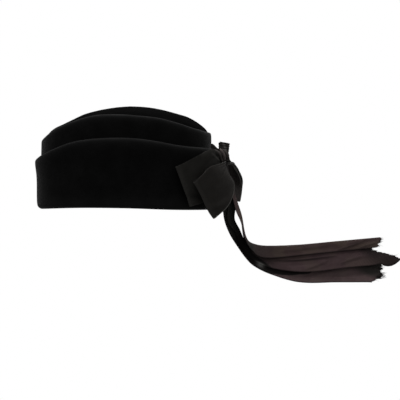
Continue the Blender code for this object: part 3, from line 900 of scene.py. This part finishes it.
# How much each strand shows the ribbon's other side, and how much painted highlight it has.
STRAND_TONES = {
    "knot_strand_left": (0.6, 0.25),
    "knot_strand_top": (1.0, 0.10),
    "knot_strand_right": (0.45, 0.10),
}
for name, strand in STRANDS.items():
    rows = []
    for i in range(STRAND_STEPS + 1):
        along = i / STRAND_STEPS
        behind, middle, ahead = (
            Vector([read(strand, axis, place) for axis in "xyz"])
            for place in (max(along - 0.02, 0), along, min(along + 0.02, 1))
        )
        run = (ahead - behind).normalized()
        wide = run.cross(Vector((0, -1, 0))).normalized()
        deep = run.cross(wide)
        size = STRAND_WIDTH * read(strand, "size", along)
        row = []
        for j in range(STRAND_AROUND + 1):
            angle = 2 * math.pi * j / STRAND_AROUND
            crush = 1 + STRAND_CRUSH * math.sin(STRAND_RIDGES * angle + STRAND_TWIST * along)
            sideways = wide * size * crush * math.cos(angle)
            row.append(middle + sideways + deep * STRAND_FLATNESS * size * math.sin(angle))
        rows.append(row)
    reverse, light = STRAND_TONES[name]
    marks = even_marks(rows, reverse=reverse, light=light, bent=0.0, selvage=0.0, dark=0.0)
    across = [RIBBON_WIDTH * j / STRAND_AROUND for j in range(STRAND_AROUND + 1)]
    piece, _ = cloth_sheet(name, rows, across, marks, bow_ribbon)
    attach(piece, "root")

# Streamers: three lengths of the ribbon, which hang from the knot and sweep back along the floor.
# Each is creased lengthwise over a ridge into a near and a far flap, and ends in a frayed cut.
STREAMER_REACH = 0.180
STREAMER_DROP = 0.1377
RIDGE_ROUND = 0.0014
STREAMER_STEPS = 170
STREAMER_ACROSS = 48
SLANT_START = 0.85
RIDGE_COLUMNS = ("along", "reach", "drop", "near")
FOLD_COLUMNS = ("along", "width", "near_lean", "far_lean")
TOP_FOLD = (
    FOLD_COLUMNS,
    (0.00, 0.22, 80.0, 80.0),
    (0.10, 0.40, 72.0, 84.0),
    (0.20, 0.60, 71.0, 86.0),
    (0.235, 0.70, 73.5, 86.0),
    (0.27, 0.80, 80.0, 86.0),
    (0.30, 0.88, 84.0, 86.0),
    (0.34, 0.97, 85.0, 85.0),
    (0.38, 1.00, 82.0, 82.0),
    (0.41, 1.00, 66.0, 78.0),
    (0.44, 1.00, 44.0, 72.0),
    (0.50, 1.00, 22.0, 62.0),
    (0.66, 1.00, 18.0, 40.0),
    (1.00, 1.00, 18.0, 30.0),
)
UNDER_FOLD = (
    FOLD_COLUMNS,
    (0.00, 0.22, 60.0, 80.0),
    (0.10, 0.36, 55.0, 80.0),
    (0.20, 0.55, 45.0, 80.0),
    (0.30, 0.85, 42.0, 82.0),
    (0.38, 1.00, 40.0, 80.0),
    (0.46, 1.00, 30.0, 75.0),
    (0.54, 1.00, 22.0, 64.0),
    (0.66, 1.00, 20.0, 42.0),
    (1.00, 1.00, 20.0, 34.0),
)
TOP_RIDGE = (
    RIDGE_COLUMNS,
    (0.000, 0.000, 0.000, 0.50),
    (0.090, 0.033, 0.176, 0.50),
    (0.190, 0.071, 0.345, 0.50),
    (0.255, 0.097, 0.452, 0.50),
    (0.340, 0.117, 0.597, 0.46),
    (0.380, 0.140, 0.663, 0.42),
    (0.420, 0.187, 0.690, 0.38),
    (0.480, 0.262, 0.699, 0.33),
    (0.625, 0.458, 0.688, 0.28),
    (0.800, 0.690, 0.660, 0.27),
    (1.000, 0.978, 0.625, 0.26),
)
MIDDLE_RIDGE = (
    RIDGE_COLUMNS,
    (0.000, 0.000, 0.000, 0.40),
    (0.095, 0.034, 0.180, 0.38),
    (0.195, 0.077, 0.353, 0.46),
    (0.260, 0.072, 0.470, 0.34),
    (0.310, 0.104, 0.557, 0.21),
    (0.370, 0.137, 0.652, 0.20),
    (0.420, 0.177, 0.717, 0.21),
    (0.460, 0.229, 0.754, 0.25),
    (0.530, 0.320, 0.764, 0.36),
    (0.650, 0.487, 0.742, 0.50),
    (0.810, 0.711, 0.706, 0.53),
    (1.000, 0.885, 0.694, 0.46),
)
LOW_RIDGE = (
    RIDGE_COLUMNS,
    (0.000, 0.000, 0.000, 0.40),
    (0.090, 0.024, 0.185, 0.40),
    (0.185, 0.052, 0.358, 0.40),
    (0.250, 0.066, 0.479, 0.30),
    (0.300, 0.099, 0.571, 0.27),
    (0.360, 0.134, 0.666, 0.19),
    (0.410, 0.180, 0.740, 0.20),
    (0.455, 0.235, 0.794, 0.25),
    (0.530, 0.335, 0.832, 0.32),
    (0.650, 0.505, 0.849, 0.45),
    (0.800, 0.727, 0.842, 0.47),
    (1.000, 1.028, 0.830, 0.50),
)
# Each streamer's corner is how much shorter its free edge is cut, over a share of its near flap,
# and far_cut is how much shorter its far flap is.
STREAMERS = (
    ("node", "ridge", "fold", "seat", "slant", "corner", "corner_share", "far_cut"),
    ("streamer_top", TOP_RIDGE, TOP_FOLD, 0.61, -0.06, 0.0042, 0.20, 0.0105),
    ("streamer_middle", MIDDLE_RIDGE, UNDER_FOLD, 0.08, 0.90, 0.0, 0.30, 0.0),
    ("streamer_low", LOW_RIDGE, UNDER_FOLD, -0.45, -0.19, 0.0040, 0.25, 0.0),
)
# Creases run lengthwise and aslant over the near flap: from 0 at its free edge to 1 at the ridge.
# The last column is painted shade along each crease.
CREASES = (
    ("node", "from_along", "from_across", "to_along", "to_across", "width", "rise", "dark"),
    ("streamer_top", 0.52, 0.45, 0.78, 0.62, 0.0016, -0.0004, 0.15),
    ("streamer_top", 0.80, 0.06, 0.93, 0.62, 0.0011, -0.0008, 0.60),
    ("streamer_top", 0.85, 0.55, 0.98, 0.90, 0.0014, -0.0006, 0.35),
    ("streamer_top", 0.90, 0.10, 1.00, 0.45, 0.0012, -0.0006, 0.40),
    ("streamer_middle", 0.52, 0.55, 0.82, 0.59, 0.0010, -0.0010, 1.00),
    ("streamer_middle", 0.66, 0.10, 0.77, 0.42, 0.0013, -0.0006, 0.30),
    ("streamer_middle", 0.58, 0.30, 0.72, 0.40, 0.0018, 0.0006, 0.0),
    ("streamer_middle", 0.83, 0.20, 0.96, 0.50, 0.0015, -0.0007, 0.35),
    ("streamer_low", 0.58, 0.45, 0.72, 0.95, 0.0014, 0.0007, 0.0),
    ("streamer_low", 0.66, 0.30, 0.80, 0.62, 0.0011, -0.0005, 0.25),
    ("streamer_low", 0.78, 0.32, 0.97, 0.42, 0.0016, 0.0008, 0.0),
)
STREAMER_WAVE, WAVE_GRAIN = 0.0007, (9, 1.6)
PATCH_GRAIN, PATCH_RAMP = (14, 1.4), (-0.05, 0.4)
LOOSE, FLAT_FROM, FLAT_REACH = (0.42, 0.1), 1.05, 0.25
CUT = (0.93, 0.07)
RAGGED, RAGGED_DRIFT, RAGGED_GRAIN = 0.0016, 0.0026, 0.35
FAR_CUT_RAMP = (0.15, 0.10)
TIP_DROOP, DROOP_START, DROOP_END, DROOP_UP = 0.0062, 0.2925, 0.3165, 0.22
TIP_LIFT, LIFT_START = 0.19, 0.2846
# The low streamer is black above its line, which climbs from its free edge to its ridge, and the
# middle one is black below its own, which falls from its ridge to its free edge.
# The low streamer's black band is partly painted shade under the middle streamer's edge.
LOW_BLACK = (
    ("along", "up"),
    (0.490, -0.25),
    (0.537, 0.06),
    (0.585, 0.21),
    (0.650, 0.40),
    (0.700, 0.54),
    (0.730, 1.20),
)
MIDDLE_BLACK = (
    ("along", "up"),
    (0.395, 1.40),
    (0.435, 0.69),
    (0.472, 0.52),
    (0.516, 0.10),
    (0.545, -0.30),
)
# A painted highlight on the black ribbon, at its turn from the drop to the floor.
SATIN_HIGHLIGHTS = (
    ("node", "along", "up", "tall"),
    ("streamer_middle", 0.472, 0.00, 0.10),
    ("streamer_low", 0.478, 0.42, 0.20),
)
SATIN_HIGHLIGHT_REACH = 0.013
# The ramps of the streamers' blacks and shades: pairs as for the crown, in shares of the length,
# or of the near flap where a name has UP.
TURN_STARTS, LAST_BLACK, LOW_TURNS = 0.36, 0.75, 0.49
BEHIND_LOOP, TOP_TURN, TOP_TURN_END = (0.09, 0.09), (0.360, 0.045), (0.405, 0.025)
TOP_TURN_FAR, TOP_TURN_UP = 0.85, (0.5, 0.6)
TOP_NEAR_TURN, TOP_NEAR_TURN_RAMP = 0.3, (0.40, 0.18)
MIDDLE_TURNS, MIDDLE_BROWN, MIDDLE_BROWN_UP, MIDDLE_BROWN_END = 0.40, 0.4, (0.7, 0.2), (0.20, 0.05)
MIDDLE_NEAR_TURN, MIDDLE_NEAR_TURN_RAMP, MIDDLE_CUT, MIDDLE_EDGE = 0.35, (0.44, 0.14), 0.45, 0.10
LOW_EDGE, LOW_END, LOW_END_UP, LOW_END_REACH = 0.05, 0.70, 0.15, 0.12
LOW_CORNER, LOW_CORNER_RAMP, LOW_CORNER_UP = 0.85, (0.86, 0.08), 0.30
LOW_LIT_UP, LOW_LIT_DROP, LOW_LIT_RAMP = 0.42, 0.3, (0.86, 0.14)
LOW_FRINGE, LOW_FRINGE_RAMP = 0.35, (0.975, 0.02)
# The next four lines set painted shade in the drop, at the turn and near the cut ends.
DEEP, DEEP_RAMP, DEEP_BLACK = 0.8, (0.28, 0.08), (0.5, 0.3)
TOP_DEEP, TOP_WAIST, TOP_WAIST_REACH = 0.7, 0.24, 0.10
TURN_SHADE, TURN_SHADE_RAMP, TOP_TURN_SHADE = 0.32, (0.42, 0.17), 1.5
POINT_SHADE, POINT_SHADE_RAMP, LOW_END_SHADE = 0.55, (0.92, 0.06), 0.35


def black_of(node, along, up):
    """How much unfaded black is left there on a streamer browned in light, and painted shade."""
    if node == "streamer_top":
        # Its black at the turn is partly painted shade.
        turn = ramp(along, *TOP_TURN) * (1 - ramp(along, *TOP_TURN_END))
        turn *= 1 - TOP_TURN_FAR * ramp(up, *TOP_TURN_UP)
        near_turn = TOP_NEAR_TURN * (1 - ramp(along, *TOP_NEAR_TURN_RAMP)) * (along > TURN_STARTS)
        return max(turn, 1 - ramp(along, *BEHIND_LOOP), near_turn)
    if node == "streamer_middle":
        if along < MIDDLE_TURNS:
            browned = ramp(up, *MIDDLE_BROWN_UP) * (1 - ramp(along, *MIDDLE_BROWN_END))
            return 1 - MIDDLE_BROWN * browned
        turn = smooth_step((read(MIDDLE_BLACK, "up", along) - up) / MIDDLE_EDGE)
        near_turn = MIDDLE_NEAR_TURN * (1 - ramp(along, *MIDDLE_NEAR_TURN_RAMP))
        return max(turn, near_turn, MIDDLE_CUT * ramp(along, *CUT))
    # Low streamer: its black under the middle one's edge and in its end corner is partly painted
    # shade.
    drop = ramp(up, read(LOW_BLACK, "up", along), LOW_EDGE) if along > LOW_TURNS else 1.0
    low_end = LOW_END - LOW_END_UP * smooth_step(up - 1.0)
    lit = LOW_LIT_UP - LOW_LIT_DROP * ramp(along, *LOW_LIT_RAMP)
    corner = LOW_CORNER * (ramp(along, *LOW_CORNER_RAMP) * ramp(up, lit, LOW_CORNER_UP))
    fringe = LOW_FRINGE * ramp(along, *LOW_FRINGE_RAMP)
    return max(drop * (1 - ramp(along, low_end, LOW_END_REACH)), corner, fringe)


def shade_of(node, along, black):
    """Painted shade in the ribbon's hollows there: in the black of its drop, and where it turns."""
    deep = DEEP * black * ramp(along, *DEEP_RAMP) * (along < LAST_BLACK)
    deep *= ramp(black, *DEEP_BLACK)
    shade = TURN_SHADE * (1 - ramp(along, *TURN_SHADE_RAMP)) * (along > TURN_STARTS)
    if node == "streamer_top":
        deep = TOP_DEEP * black * smooth_step(abs(along - TOP_WAIST) / TOP_WAIST_REACH)
        deep *= 1 - ramp(along, *TOP_TURN_END)
        shade *= TOP_TURN_SHADE
    if node == "streamer_middle":
        shade = max(shade, POINT_SHADE * ramp(along, *POINT_SHADE_RAMP))
    if node == "streamer_low" and along > LAST_BLACK:
        shade = LOW_END_SHADE * black
    return max(deep, shade)


def satin_highlight_of(node, along, up):
    """How much painted highlight the black ribbon has there."""
    for satin_highlight, at_along, at_up, tall in SATIN_HIGHLIGHTS[1:]:
        if satin_highlight == node:
            far = ((along - at_along) / SATIN_HIGHLIGHT_REACH) ** 2 + ((up - at_up) / tall) ** 2
            return math.exp(-far)
    return 0.0


def cloth_noise(along, up, grain, seed):
    return noise.noise(Vector((along * grain[0], up * grain[1], seed)))


def move_tip(point, up):
    """Lifts the middle streamer's point off the floor, and lets its lower corner hang."""
    if DROOP_START < point.x < DROOP_END:
        turn = math.pi * (point.x - DROOP_START) / (DROOP_END - DROOP_START)
        point.z -= TIP_DROOP * math.sin(turn) ** 0.7 * max(1 - up / DROOP_UP, 0)
    point.z += TIP_LIFT * max(point.x - LIFT_START, 0)


def streamer_sheet(node, ridge, fold, seat, slant, corner, corner_share, far_cut, seed):
    """Rows along a streamer, with the marks of its colours and creases."""
    start_x = knot_middle.x + seat * KNOT_DEPTH / 2
    start_z = knot_middle.z - KNOT_HEIGHT / 2 * math.sqrt(1 - seat**2) - SEAM_GAP
    cuts = random.Random(seed)
    nicks = [cuts.uniform(-RAGGED, RAGGED) for _ in range(STREAMER_ACROSS + 1)]

    def ridge_point(along):
        x = start_x + STREAMER_REACH * read(ridge, "reach", along)
        z = start_z - STREAMER_DROP * read(ridge, "drop", along)
        return Vector((x, 0, z))

    rows = []
    marks = {"black": [], "crease_shade": [], "pale": [], "satin_highlight": []}
    for i in range(STREAMER_STEPS + 1):
        along = i / STREAMER_STEPS
        run = ridge_point(min(along + 0.02, 1)) - ridge_point(max(along - 0.02, 0))
        run.normalize()
        down = Vector((run.z, 0, -run.x))
        near_lean = math.radians(read(fold, "near_lean", along))
        far_lean = math.radians(read(fold, "far_lean", along))
        near_way = down * math.cos(near_lean) - Vector((0, math.sin(near_lean), 0))
        far_way = down * math.cos(far_lean) + Vector((0, math.sin(far_lean), 0))
        near_out = run.cross(near_way)
        width = RIBBON_WIDTH * read(fold, "width", along)
        near = width * read(ridge, "near", along)
        late = max(along - SLANT_START, 0) / (1 - SLANT_START)
        row = []
        for line in marks.values():
            line.append([])
        for j in range(STREAMER_ACROSS + 1):
            stop = width * j / STREAMER_ACROSS - near
            up = 1 + stop / near
            bend = math.hypot(stop, RIDGE_ROUND)
            point = ridge_point(along) + near_way * (bend - stop) / 2 + far_way * (bend + stop) / 2
            rise, dark = crease_at(CREASES, node, along, up, near)
            wave = cloth_noise(along, up, WAVE_GRAIN, seed) * STREAMER_WAVE + rise
            flat_part = ramp(along, *LOOSE) * smooth_step((FLAT_FROM - up) / FLAT_REACH)
            slide = slant * RIBBON_WIDTH * late**2 * max(1 - up, 0)
            ragged = nicks[j] + noise.noise(Vector((j * RAGGED_GRAIN, seed, 0.0))) * RAGGED_DRIFT
            ragged -= corner * smooth_step(1 - up / corner_share)
            ragged -= far_cut * ramp((up - 1) * near / RIBBON_WIDTH, *FAR_CUT_RAMP)
            point += near_out * wave * flat_part
            point += run * (slide + ragged * ramp(along, *CUT))
            if node == "streamer_middle":
                move_tip(point, up)
            row.append(point)
            black = black_of(node, along, up)
            patch = cloth_noise(along, up, PATCH_GRAIN, seed + 9)
            marks["black"][-1].append(black)
            marks["crease_shade"][-1].append(max(dark * flat_part, shade_of(node, along, black)))
            marks["satin_highlight"][-1].append(satin_highlight_of(node, along, up))
            marks["pale"][-1].append(ramp(patch, *PATCH_RAMP))
        rows.append(row)
    across = [RIBBON_WIDTH * j / STREAMER_ACROSS for j in range(STREAMER_ACROSS + 1)]
    return rows, across, marks


STREAMER_BLACK = (0.029, 0.029, 0.0265)
# The next colour is painted shade in creases and hollows and along free edges.
STREAMER_CREASE_SHADE = (0.0060, 0.0045, 0.0045)
# The next colour is a painted highlight where the black ribbon turns on to the floor.
STREAMER_SATIN_HIGHLIGHT = (0.190, 0.186, 0.176)
STREAMER_SELVAGE = 0.0016
STREAMER_RIB_RISE = 0.0001
# The second number here is how much painted shade darkens the free edges.
PATCH_PALE, FREE_EDGE_SHADE = 0.6, 0.9
# The streamers are one ribbon; the low one's paler colours are partly painted light.
STREAMER_LOOKS = (
    ("node", "brown", "worn", "pale"),
    ("streamer_top", (0.041, 0.0270, 0.0262), (0.055, 0.0375, 0.0365), (0.056, 0.0420, 0.0340)),
    ("streamer_middle", (0.044, 0.0285, 0.0300), (0.060, 0.0400, 0.0420), (0.060, 0.0430, 0.0390)),
    ("streamer_low", (0.067, 0.0460, 0.0465), (0.088, 0.0620, 0.0630), (0.088, 0.0660, 0.0620)),
)


def faded_ribbon(name, brown, worn, pale):
    """Black ribbon browned in patches, painted shade in its creases and along its free edges."""
    material, tree = cloth_material(name, Roughness=0.8, Specular_IOR_Level=0.04)
    weave = add_group(tree, ribbon_weave, Selvage=STREAMER_SELVAGE)
    layers = (
        (weave.outputs["Worn"], worn),
        (maths(tree, "MULTIPLY", mark_of(tree, "pale"), PATCH_PALE), pale),
        (mark_of(tree, "black"), STREAMER_BLACK),
        (mark_of(tree, "crease_shade"), STREAMER_CREASE_SHADE),
        (maths(tree, "MULTIPLY", weave.outputs["Edge"], FREE_EDGE_SHADE), STREAMER_CREASE_SHADE),
        (mark_of(tree, "satin_highlight"), STREAMER_SATIN_HIGHLIGHT),
    )
    dress(tree, brown, layers, weave.outputs["Rib"], STREAMER_RIB_RISE)
    return material


# Tufts of longer threads: how many, where they start across the cut end, and how long they are.
TUFTS = {
    "streamer_top_fray": (2, 0.12, 0.004, 0.005),
    "streamer_middle_fray": (4, 0.455, 0.005, 0.008),
    "streamer_low_fray": (22, 0.205, 0.006, 0.0125),
}
TUFT_SPREAD, TUFT_THICK = 0.03, 0.00042
FRAY_COUNT = 90
FRAY_SIDES = 3
FRAY_STEPS = 4
FRAY_LENGTHS, FRAY_THICKS = (0.0012, 0.0034), (0.00010, 0.00022)
LONG_CHANCE, LONG_TIMES = 0.12, 2.0
FRAY_LEAN_Y, FRAY_LEAN_Z = (-0.25, 0.25), (-0.45, 0.30)
FRAY_ROOTED, FRAY_TAPER = 0.15, 0.75
THREAD_BROWN = (0.046, 0.036, 0.035)


def frayed_end(name, rows, seed):
    """Loose warp threads that stand out of a streamer's cut end, tapered and a little bent."""
    chance = random.Random(seed)
    last, before = rows[-1], rows[-6]
    shape = bmesh.new()
    tuft, middle, shortest, longest = TUFTS[name]
    turns = [2 * math.pi * k / FRAY_SIDES for k in range(FRAY_SIDES)]
    ways = [Vector((0, math.cos(turn), math.sin(turn))) for turn in turns]
    for count in range(FRAY_COUNT + tuft):
        place = chance.uniform(0, len(last) - 1.001)
        if count >= FRAY_COUNT:
            place = (middle + chance.uniform(-TUFT_SPREAD, TUFT_SPREAD)) * (len(last) - 1)
        j = int(place)
        root = last[j].lerp(last[j + 1], place - j)
        out = (last[j] - before[j]).normalized()
        length = chance.uniform(*FRAY_LENGTHS)
        length *= LONG_TIMES if chance.random() < LONG_CHANCE else 1.0
        thick = chance.uniform(*FRAY_THICKS)
        if count >= FRAY_COUNT:
            length = chance.uniform(shortest, longest)
            thick = TUFT_THICK
        lean = Vector((0, chance.uniform(*FRAY_LEAN_Y), chance.uniform(*FRAY_LEAN_Z)))
        rings = []
        for i in range(FRAY_STEPS + 1):
            t = i / FRAY_STEPS
            centre = root + out * length * (t - FRAY_ROOTED) + lean * length * t**2
            reach = thick * (1 - FRAY_TAPER * t)
            rings.append([shape.verts.new(centre + way * reach) for way in ways])
        for lower, upper in zip(rings, rings[1:]):
            for k in range(FRAY_SIDES):
                n = (k + 1) % FRAY_SIDES
                shape.faces.new((lower[k], lower[n], upper[n], upper[k]))
        shape.faces.new(rings[0][::-1])
        shape.faces.new(rings[-1])
    mesh = bpy.data.meshes.new(name)
    shape.to_mesh(mesh)
    shape.free()
    mesh.shade_smooth()
    return add_object(name, mesh)


thread, thread_tree = cloth_material("fray_thread", Roughness=0.9, Specular_IOR_Level=0.04)
shades = object_noise(thread_tree, Scale=500.0, Detail=1.0).outputs["Fac"]
dress(thread_tree, STREAMER_BLACK, ((shades, THREAD_BROWN),))

looks = {line[0]: line[1:] for line in STREAMER_LOOKS[1:]}
for place, (node, *shape) in enumerate(STREAMERS[1:]):
    rows, across, marks = streamer_sheet(node, *shape, place * 3.7)
    browned = faded_ribbon(node + "_browned", *looks[node])
    streamer, length = cloth_sheet(node + "_ribbon", rows, across, marks, browned)
    threads = frayed_end(node + "_fray", rows, place + 5)
    threads.data.materials.append(thread)
    for piece in (streamer, threads):
        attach(piece, "root")
    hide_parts(node)
